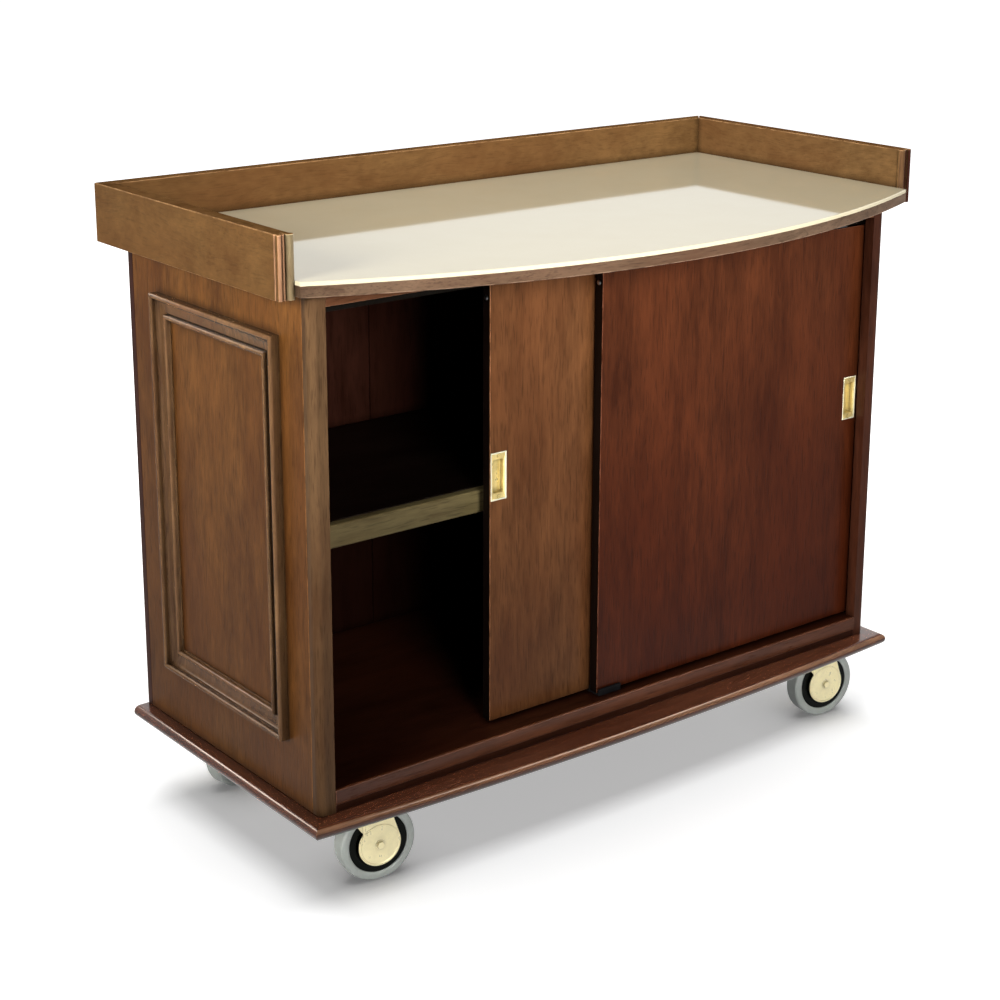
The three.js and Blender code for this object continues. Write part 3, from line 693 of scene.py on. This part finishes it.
# ---- base ----
def base_strips():
    """Bullnosed base in mitred strips: the front one follows the bow."""
    low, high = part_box("base_front")
    side_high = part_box("base_right")[1]
    corner = -220 * MM
    back = side_high.y
    hole_half, hole_front = 585 * MM, -186 * MM
    gap = 0.3 * MM
    radius = (high.z - low.z) / 2
    steps, count = 12, 64
    outline = bowed(side_high.x, back, corner, corner - low.y, count)
    nose = []
    for i in range(steps + 1):
        a = math.pi * i / steps
        nose.append((radius * (1 - math.sin(a)), low.z + radius * (1 - math.cos(a))))
    front, right = [], []
    for step, height in nose:
        ring = inset(outline, step)
        front.append([(x, y, height) for x, y in ring[:count + 1]])
        a, b = ring[count], ring[count + 1]
        right.append([(a[0], a[1] + gap, height), (b[0], back, height)])
    inner = [(-hole_half + 2 * hole_half * i / count, hole_front) for i in range(count + 1)]
    for height in (high.z, low.z):
        front.append([(x, y, height) for x, y in inner])
        right.append([(hole_half, hole_front + gap, height), (hole_half, back, height)])
    bow = loft("plinth_front", front, closed=False, ring=True)
    settle(bow, "cabinet", "base_wood", [base_x, base_nose_x], "base_front")
    # Painted highlight: the upper front faces of the nose take the lighter nose wood.
    paint(bow, 1, lambda face: face.normal.y < -0.25 and 0.15 < face.normal.z < 0.85)
    settle(loft("plinth_right", right, closed=False, ring=True), "cabinet", "base_wood", base_y, "base_right")
    left = [[(-x, y, z) for x, y, z in chain] for chain in right]
    settle(loft("plinth_left", left, closed=False, ring=True), "cabinet", "base_wood", base_y, "base_left")


base_strips()
settle(refine("base_back", "plinth_back", 1.0 * MM), "cabinet", "base_wood", base_x, "base_back")


# ---- side mouldings ----
def moulding(side, sign):
    """Picture-frame moulding: outer bead, deep cove and inner bead, carried round four mitres."""
    low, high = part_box(f"side_moulding_{side}")
    panel = low.x if sign > 0 else high.x
    # (step in from the frame's outer edge, height off the panel), in millimetres.
    profile = [(0.0, 0.0), (0.0, 12.8)]
    bead, bead_top = 4.0, 13.2
    for i in range(9):
        a = math.pi * (1 - i / 8)
        profile.append((bead + bead * math.cos(a), bead_top + bead * math.sin(a)))
    cove_start, cove_top, cove_wide, cove_deep = 10.4, 8.2, 18.4, 6.2
    profile += [(8.2, 8.6), (cove_start, cove_top)]
    for i in range(1, 10):
        a = math.pi / 2 * i / 9
        profile.append((cove_start + cove_wide * (1 - math.cos(a)), cove_top - cove_deep * math.sin(a)))
    inner, inner_wide, inner_high = 34.8, 4.2, 4.6
    profile += [(30.2, 1.0), (30.6, 4.0)]
    for i in range(1, 10):
        a = math.pi * (1 - i / 10)
        profile.append((inner + inner_wide * math.cos(a), inner_high + inner_high * math.sin(a)))
    profile += [(39.2, 3.4), (40.0, 1.4), (42, 1.2), (42, 0.0)]
    chains = []
    for step, height in in_mm(profile):
        x = panel + sign * height
        chains.append([(x, low.y + step, low.z + step), (x, high.y - step, low.z + step),
                       (x, high.y - step, high.z - step), (x, low.y + step, high.z - step)])
    piece = loft(f"panel_moulding_{side}", chains, ring=True)
    settle(piece, "cabinet", "moulding_wood", mould_z, f"side_moulding_{side}")


moulding("left", -1)
moulding("right", 1)


# ---- door gear ----
settle(refine("door_track", "top_track", 0.3 * MM), "cabinet", "bronze_track", bronze, "door_track")
settle(refine("door_guide", "floor_guide", 0.5 * MM), "cabinet", "black_nylon", black_nylon, "door_guide")


def slotted_screw(x, z, face, angle):
    """A slotted screw head standing on a face that looks towards -Y."""
    radius, rim, head, slot_share = 2.9 * MM, 0.4 * MM, 0.9 * MM, 0.13
    turn = Matrix.Translation((x, face, z)) @ Matrix.Rotation(math.radians(angle), 4, "Y")

    def facing(p):
        return turn @ Vector((p[0], -p[2], p[1]))

    parts = [turned("screw_a", [(0.0, 0.0), (radius, 0.0), (radius, rim), (0.0, rim)], facing, 24)]
    slot = math.degrees(math.asin(slot_share))
    for start in (slot, 180 + slot):
        outline = circle(0, 0, radius, 14, start, 180 - 2 * slot)
        parts.append(slab("screw_b", outline, soft_rings(0.0, head, 0.4 * MM, 0.0, 2), turn=facing))
    return parts


def pull(side, body):
    """Recessed brass pull: a rimmed plate, a dished cup, and a screw above and below it."""
    low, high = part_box(f"pull_{side}")
    x, z = (low.x + high.x) / 2, (low.z + high.z) / 2
    front, back = low.y, high.y
    plate_back = front + 1.6 * MM
    cup_w, cup_h = 10.5 * MM, 28 * MM

    def ring(half_w, half_h, radius, y):
        return [(px, y, pz) for px, pz in rectangle(x - half_w, x + half_w, z - half_h, z + half_h, radius, 5)]

    w, h = (high.x - low.x) / 2, (high.z - low.z) / 2
    chains = [
        ring(cup_w + 0.8 * MM, cup_h + 0.8 * MM, 3.0 * MM, back),
        ring(cup_w + 1.2 * MM, cup_h + 1.2 * MM, 3.4 * MM, plate_back),
        ring(w - 0.3 * MM, h - 0.3 * MM, 0.9 * MM, plate_back),
        ring(w, h, 1.2 * MM, plate_back - 0.3 * MM),
        ring(w, h, 1.2 * MM, front + 0.5 * MM),
        ring(w - 0.2 * MM, h - 0.2 * MM, 1.1 * MM, front + 0.15 * MM),
        ring(w - 0.6 * MM, h - 0.6 * MM, 1.0 * MM, front),
        ring(w - 1.9 * MM, h - 1.9 * MM, 0.8 * MM, front),
        ring(w - 2.6 * MM, h - 2.6 * MM, 0.8 * MM, front + 0.6 * MM),
        ring(cup_w + 0.9 * MM, cup_h + 0.9 * MM, 2.8 * MM, front + 1.1 * MM),
        ring(cup_w, cup_h, 2.4 * MM, front + 1.7 * MM),
        ring(cup_w - 0.5 * MM, cup_h - 0.5 * MM, 2.4 * MM, back - 3.2 * MM),
        ring(cup_w - 1.3 * MM, cup_h - 1.3 * MM, 2.4 * MM, back - 1.8 * MM),
        ring(cup_w - 3.0 * MM, cup_h - 3.0 * MM, 2.0 * MM, back - 1.2 * MM),
    ]
    plate = loft(f"flush_pull_{side}", chains)
    settle(plate, body, "brass", [brass, brass_rim], f"pull_{side}")
    rim = 2.3 * MM
    # Painted highlight: the rim faces take a paler, less metallic brass.
    paint(plate, 1, lambda face: abs(face.center.x - x) > w - rim or abs(face.center.z - z) > h - rim)
    screws = []
    for sign, angle in ((-1, 24.0), (1, -38.0)):
        screws += slotted_screw(x, z + sign * (cup_h + 6 * MM), front + 0.5 * MM, angle)
    settle(join(f"pull_screws_{side}", screws), body, "brass", brass)


for side, face_wood in (("left", door_left_z), ("right", door_right_z)):
    body = f"door_{side}"
    door = refine(f"door_{side}", f"door_board_{side}", 0.9 * MM, 2, on_hull(f"door_{side}"))
    settle(door, body, f"door_{side}_veneer", [face_wood, inside_z, edge_z], f"door_{side}")
    veneer_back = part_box(f"door_{side}")[0].y + 0.7 * MM
    # Painted shade: the door's edges take the near-black edge wood; its back takes the dark inside wood.
    paint(door, 2, lambda face: face.normal.y > -0.3 and face.center.y > veneer_back)
    paint(door, 1, lambda face: face.material_index == 2 and face.normal.y > 0.7)
    pull(side, body)

    low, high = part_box(f"bumper_{side}")
    centre = (low + high) / 2
    radius, length = (high.z - low.z) / 2, high.x - low.x
    profile = [(0.0, 0.0), (radius, 0.0), (radius, length * 0.35), (radius * 0.92, length * 0.6),
               (radius * 0.72, length * 0.84), (radius * 0.4, length * 0.97), (0.0, length)]
    button = turned(f"door_buffer_{side}", profile,
                    lambda p, c=centre, e=high.x: (e - p[2], c.y + p[0], c.z + p[1]), 32)
    settle(button, body, "plated_steel", steel, f"bumper_{side}")
    for end in "ab":
        hanger = refine(f"hanger_{side}_{end}", f"door_hanger_{side}_{end}", 0.3 * MM)
        settle(hanger, body, "plated_steel", steel, f"hanger_{side}_{end}")
        wheels = refine(f"rollers_{side}_{end}", f"track_rollers_{side}_{end}", 0.4 * MM)
        settle(wheels, f"rollers_{side}_{end}", "roller_nylon", roller_nylon, f"rollers_{side}_{end}")


# ---- casters ----
HEADINGS = {"front_left": -9.5, "front_right": -9.5, "back_left": 14.0, "back_right": -4.0}
TRAIL = 28 * MM
PLATE_HALF_X, PLATE_HALF_Y = 46 * MM, 35 * MM
BOLT_X, BOLT_Y = 38, 27
LEG_INSIDE, LEG_THICK = 18.5 * MM, 3.5 * MM
REACH = LEG_INSIDE + LEG_THICK
DISC = 36.5 * MM
BRIDGE_LOW, BRIDGE_HIGH = 139.5 * MM, 143.0 * MM

# Turned profiles: (radius, height) in millimetres. Heights are from the floor in the first four, from the leg's
# outer face in the next two, and from the wheel's middle in CORE.
RACE = [(0.0, 147.1), (27.2, 147.1), (28.0, 147.6), (28.2, 148.6), (27.6, 149.2), (26.4, 149.5),
        (26.4, 150.0), (27.4, 150.4), (27.8, 151.2), (27.0, 152.4), (26.0, 153.5), (0.0, 153.5)]
CROWN = [(0.0, 139.7), (29.0, 139.7), (30.0, 141.0), (30.0, 144.2), (29.2, 145.6), (27.6, 146.3), (0.0, 146.3)]
KINGPIN = [(0.0, 139.6), (0.0, 133.8), (5.2, 133.8), (6.4, 134.6), (6.4, 139.6)]
WASHER = [(0.0, 152.6), (6.4, 152.6), (6.6, 153.1), (6.6, 153.7), (0.0, 153.7)]
DISC_FACE = [(0.0, 0.0), (31.5, 0.0), (32.6, 0.25), (33.4, 0.75), (34.3, 0.75), (35.0, 0.2), (35.2, 0.0)]
AXLE_WASHER = [(0.0, 0.1), (8.0, 0.1), (8.2, 0.5), (7.6, 1.1), (0.0, 1.1)]
CORE = [(4.4, -17.5), (12, -17.5), (12.8, -16.8), (13.4, -6), (37.6, -6), (38.8, -13.6), (39.6, -14.5),
        (48.6, -14.5), (50, -13.6), (50, 13.6), (48.6, 14.5), (39.6, 14.5), (38.8, 13.6), (37.6, 6),
        (13.4, 6), (12.8, 16.8), (12, 17.5), (4.4, 17.5)]

# Outlines seen from the side: (forward of the swivel, height) in millimetres.
LEG_ABOVE_DISC = [(52, 108), (46, 129), (42, 134), (35, 136.6), (34, 143), (-24, 143), (-21.5, 128), (-15, 112),
                  (-7.5, 98)]
RIB = [(-3.2, 128), (-1.4, 88), (0.6, 84), (2.6, 88), (2.2, 128), (0.4, 134), (-1.8, 134)]


def hexagon(radius):
    return circle(0, 0, radius, 6)


def caster(corner):
    """Plate with bolts, ball race, fork with a disc over each hub face, axle bolt, wheel and tyre."""
    plate_low, plate_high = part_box(f"caster_plate_{corner}")
    middle = (plate_low + plate_high) / 2
    stand = Matrix.Translation((middle.x, middle.y, 0))
    swivel = stand @ Matrix.Rotation(math.radians(HEADINGS[corner]), 4, "Z")
    tyre_low, tyre_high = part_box(f"tyre_{corner}")
    radius = (tyre_high.z - tyre_low.z) / 2
    hub = swivel @ Matrix.Translation((TRAIL, 0, radius))

    def fixed(p):
        return stand @ Vector(p)

    def swung(p):
        return swivel @ Vector(p)

    def across(p):
        return hub @ Vector((p[0], p[2], p[1]))

    top = plate_high.z
    sheet = rectangle(-PLATE_HALF_X, PLATE_HALF_X, -PLATE_HALF_Y, PLATE_HALF_Y, 6 * MM, 5)
    plate = slab(f"plate_{corner}", sheet, soft_rings(top - 3 * MM, top, 0.6 * MM), turn=fixed)
    settle(plate, "cabinet", "plated_steel", steel, f"caster_plate_{corner}")
    settle(turned(f"race_{corner}", in_mm(RACE), fixed, 48), "cabinet", "plated_steel", steel)
    bolts = []
    for bx, by in ((-BOLT_X, -BOLT_Y), (BOLT_X, -BOLT_Y), (BOLT_X, BOLT_Y), (-BOLT_X, BOLT_Y)):
        spot = stand @ Matrix.Translation((bx * MM, by * MM, 0)) @ Matrix.Rotation(0.3 + 0.11 * bx, 4, "Z")

        def bolted(p, spot=spot):
            return spot @ Vector(p)

        bolts.append(turned("washer", in_mm(WASHER), bolted, 24))
        head = soft_rings(149.4 * MM, 152.7 * MM, 0.2 * MM, 0.9 * MM, 2)
        bolts.append(slab("bolt", hexagon(5.2 * MM), head, turn=bolted))
    settle(join(f"plate_bolts_{corner}", bolts), "cabinet", "plated_steel", steel)

    # Fork: crown, bridge and two legs that end in a disc.
    start = math.degrees(math.atan2(88 * MM - radius, -TRAIL))
    end = math.degrees(math.atan2(78 * MM - radius, 34 * MM)) + 360
    leg = circle(TRAIL, radius, DISC, 60, start, end - start) + in_mm(LEG_ABOVE_DISC)
    parts = []
    for sign in (-1, 1):
        outer = sign * REACH
        near = min(sign * LEG_INSIDE, outer)
        rings = soft_rings(near, near + LEG_THICK, 1.1 * MM, 1.1 * MM, 3)
        parts.append(slab("leg", leg, rings, along="y", turn=swung))
        face = [(r * MM, outer + sign * (h - 0.05) * MM) for r, h in DISC_FACE]
        face += [(face[-1][0], outer - sign * 1.0 * MM), (0.0, outer - sign * 1.0 * MM)]
        parts.append(turned("rim", face, across))
        rib_low = outer - (0.6 * MM if sign > 0 else 0.75 * MM)
        rings = soft_rings(rib_low, rib_low + 1.35 * MM, 0.55 * MM, 0.55 * MM, 2)
        parts.append(slab("rib", in_mm(RIB), rings, along="y", turn=swung))
    bridge = rectangle(-24 * MM, 34 * MM, -REACH, REACH, 4 * MM, 4)
    parts.append(slab("bridge", bridge, soft_rings(BRIDGE_LOW, BRIDGE_HIGH, 1.2 * MM, 0.4 * MM), turn=swung))
    parts.append(turned("crown", in_mm(CROWN), swung, 48))
    parts.append(turned("kingpin", in_mm(KINGPIN), swung, 24))
    fork = join(f"fork_{corner}_body", parts)
    settle(fork, f"fork_{corner}", "caster_brass", caster_brass, f"caster_fork_{corner}")

    pin, pin_end = 3.9 * MM, REACH + 0.3 * MM
    parts = [turned("pin", [(0.0, -pin_end), (pin, -pin_end), (pin, pin_end), (0.0, pin_end)], across, 24)]
    for sign in (-1, 1):
        washer = [(r * MM, sign * (REACH + h * MM)) for r, h in AXLE_WASHER]
        parts.append(turned("axle_washer", washer, across, 32))
        head_low, head_high = sorted((sign * (REACH + 0.9 * MM), sign * (REACH + 4.4 * MM)))
        upper, lower = (1.0 * MM, 0.1 * MM) if sign > 0 else (0.1 * MM, 1.0 * MM)
        rings = soft_rings(head_low, head_high, upper, lower, 3)
        parts.append(slab("axle_head", hexagon(6.4 * MM), rings, turn=across))
    axle = join(f"axle_bolt_{corner}", parts)
    settle(axle, f"fork_{corner}", "plated_steel", caster_brass, f"caster_axle_{corner}")

    core = turned(f"wheel_centre_{corner}", in_mm(CORE), across, 72)
    settle(core, f"wheel_{corner}", "wheel_core", core_plastic, f"wheel_core_{corner}")
    rim, round_in, round_wide, round_from = radius / MM, 4.2, 4.8, 10.6
    tread = [(50.3, -14.6), (51.4, -15.5), (54.0, -16.0), (rim - 6.5, -16.0), (rim - round_in, -15.4)]
    for i in range(1, 8):
        a = math.pi / 2 * i / 8
        tread.append((rim - round_in + round_in * math.sin(a), -round_from - round_wide * math.cos(a)))
    tread += [(rim, -9.6), (rim, -0.7), (rim - 0.35, 0.0)]
    tread += [(r, -h) for r, h in reversed(tread[:-1])]
    tyre = turned(f"tread_{corner}", in_mm(tread), across, 96)
    settle(tyre, f"wheel_{corner}", "grey_tyre", tyre_rubber, f"tyre_{corner}")


for corner in HEADINGS:
    caster(corner)


# ---- stage, light and camera ----
def floor_material():
    """Pale paper: white where it is looked at, less so for the light that it sends back up."""
    g = Finish("studio_floor")
    spot = g.place()
    cloud = g.noise(spot, 1.5, 3.0, 0.5)
    path = g.node("LightPath", {})
    seen = path.outputs["Is Camera Ray"]
    paper = g.mix(g.span(cloud, 0.3, 0.7), (0.9, 0.9, 0.9, 1.0), (0.94, 0.94, 0.94, 1.0))
    tint = g.mix(seen, (0.2, 0.2, 0.2, 1.0), paper)
    # Away is the distance from under the cart, and near falls towards anything that stands on the floor.
    away = g.node("VectorMath", {0: spot}, operation="LENGTH").outputs["Value"]
    near = g.node("AmbientOcclusion", {"Distance": 0.12}, samples=8).outputs["AO"]
    # Painted shadow: the glow is dimmer within a metre of the cart, full only two metres away, and dimmer still where
    # ambient occlusion finds something standing on the floor.
    glow = g.math("MULTIPLY", g.span(away, 1.0, 2.0, 0.44, 1.0), g.span(near, 0.5, 0.95, 0.3, 1.0))
    glow = g.math("MULTIPLY", seen, glow)
    # For glossy rays the floor glows brighter near the cart, a light that shows only in reflections.
    mirrored = g.math("MULTIPLY", path.outputs["Is Glossy Ray"], g.span(away, 0.78, 1.0, 0.6, 0.22))
    return g.finish(Base_Color=tint, Roughness=0.9, Emission_Color=WHITE,
                    Emission_Strength=g.math("ADD", glow, mirrored), Specular_IOR_Level=0.0)


def group(name, members, leave_out=False):
    """A collection that a light can be limited to, or one that says what a light leaves out."""
    collection = bpy.data.collections.new(name)
    for member in members:
        collection.objects.link(member)
    if leave_out:
        for member in collection.collection_objects:
            member.light_linking.link_state = "EXCLUDE"
    return collection


FLOOR_HALF = 60.0
floor_corners = [(x, y, 0) for x, y in rectangle(-FLOOR_HALF, FLOOR_HALF, -FLOOR_HALF, FLOOR_HALF)]
floor = mesh_object("studio_floor", floor_corners, [(0, 1, 2, 3)])
floor.data.materials.append(floor_material())
floor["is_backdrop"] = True
ground = group("ground", [floor])
not_ground = group("not_ground", [floor], leave_out=True)
shell = group("shell", [floor, worktop], leave_out=True)


def area_light(name, place, target, size, power, colour=(1, 1, 1), spread=180, lit=not_ground, mirrored=True):
    """A soft box. lit is the collection that says what it lights; one that is not mirrored leaves no glare."""
    light = bpy.data.lights.new(name, "AREA")
    light.shape = "RECTANGLE"
    light.size, light.size_y = size
    light.energy = power
    light.color = colour
    light.spread = math.radians(spread)
    lamp = bpy.data.objects.new(name, light)
    lamp.light_linking.receiver_collection = lit
    lamp.visible_glossy = mirrored
    lamp.location = place
    lamp.rotation_euler = (Vector(target) - Vector(place)).to_track_quat("-Z", "Y").to_euler()
    bpy.context.scene.collection.objects.link(lamp)


METALWORK = ("fork_", "axle_bolt_", "flush_pull_", "pull_screws_", "tread_")
POLISHED = ("plinth_", "panel_moulding_", "bottom_lipping")
pieces = [piece for piece in bpy.context.scene.collection.all_objects if piece.type == "MESH"]
metalwork = group("metalwork", [piece for piece in pieces if piece.name.startswith(METALWORK)])
polished = group("polished", [piece for piece in pieces if piece.name.startswith(POLISHED)])

# Name, place, what it points at, width and height, watts, then colour and spread.
area_light("overhead", (0.2, 0.7, 3.6), (0, 0, 0.4), (3.4, 1.0), 26)
area_light("left_side", (-3.4, -0.7, 1.9), (0, 0.1, 1.1), (1.3, 1.3), 18, (1.0, 0.97, 0.9), 62, mirrored=False)
area_light("front", (-1.0, -3.2, 1.75), (0.2, 0, 1.15), (1.4, 0.9), 19, (1.0, 0.97, 0.92), 46, mirrored=False)
area_light("right_side", (3.6, 0.3, 1.9), (0.6, 0.1, 0.8), (1.6, 1.4), 26, spread=70, lit=shell, mirrored=False)
area_light("back", (1.0, 3.8, 2.0), (0, 0.3, 0.7), (2.4, 1.4), 40, spread=80, lit=shell, mirrored=False)
area_light("ground", (0, 0, 6.0), (0, 0, 0), (6.6, 6.6), 560, lit=ground, mirrored=False)
area_light("low_fill", (-0.8, -2.4, 0.4), (0, 0, 0.2), (1.8, 0.5), 18.5, lit=metalwork)
area_light("edge_front", (1.5, -1.4, 2.3), (0, -0.3, 0.2), (2.2, 0.4), 32, (1.0, 0.86, 0.74), lit=polished)
area_light("edge_left", (-1.3, 2.2, 1.9), (-0.6, 0, 0.2), (1.6, 0.25), 21, (1.0, 0.84, 0.7), lit=polished)


def studio_world():
    """White where it is looked at; for light and gloss, bright low behind the cabinet and dim in front and above."""
    world = bpy.data.worlds.new("studio")
    bpy.context.scene.world = world
    world.use_nodes = True
    g = Graph(world.node_tree)
    g.tree.nodes.clear()
    direction = g.node("TexCoord", {}).outputs["Generated"]
    behind = g.node("VectorMath", {0: direction, 1: (0.63, 0.77, 0.0)}, operation="DOT_PRODUCT").outputs["Value"]
    height = g.node("SeparateXYZ", {0: direction}).outputs["Z"]
    lobe = g.math("MULTIPLY", g.span(behind, -0.1, 0.7), g.span(height, 0.35, 0.75, 1.0, 0.0))
    path = g.node("LightPath", {})
    shine = g.math("MULTIPLY", lobe, path.outputs["Is Glossy Ray"])
    strength = g.span(shine, 0.0, 1.0, 0.06, 1.15)
    light = g.node("Background", {"Color": WHITE, "Strength": strength}).outputs[0]
    seen = g.node("Background", {"Color": WHITE, "Strength": 1.0}).outputs[0]
    mixed = g.node("MixShader", {0: path.outputs["Is Camera Ray"], 1: light, 2: seen}).outputs[0]
    g.node("OutputWorld", {"Surface": mixed})


studio_world()
bpy.context.scene.view_settings.view_transform = "Standard"


CAMERA = {"place": (-2.1175, -2.5649, 1.6101), "yaw": 38.373, "pitch": 15.182, "roll": 0.236,
          "lens": 72.886, "shift": (-0.013, -0.12)}


def photo_camera():
    """A long lens at the photograph's viewing angle, above the worktop's height. Angles are in degrees."""
    place = Vector(CAMERA["place"])
    yaw, pitch, roll = (math.radians(CAMERA[k]) for k in ("yaw", "pitch", "roll"))
    ahead = Vector((math.sin(yaw) * math.cos(pitch), math.cos(yaw) * math.cos(pitch), -math.sin(pitch)))
    right = Vector((math.cos(yaw), -math.sin(yaw), 0))
    up = right.cross(ahead)
    turned_right = math.cos(roll) * right + math.sin(roll) * up
    turned_up = math.cos(roll) * up - math.sin(roll) * right
    data = bpy.data.cameras.new("camera")
    data.sensor_width = 36
    data.lens = CAMERA["lens"]
    data.shift_x, data.shift_y = CAMERA["shift"]
    data.clip_end = 200
    camera = bpy.data.objects.new("camera", data)
    basis = Matrix((turned_right, turned_up, -ahead)).transposed().to_4x4()
    camera.matrix_world = Matrix.Translation(place) @ basis
    bpy.context.scene.collection.objects.link(camera)
    bpy.context.scene.camera = camera


photo_camera()

low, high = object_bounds()
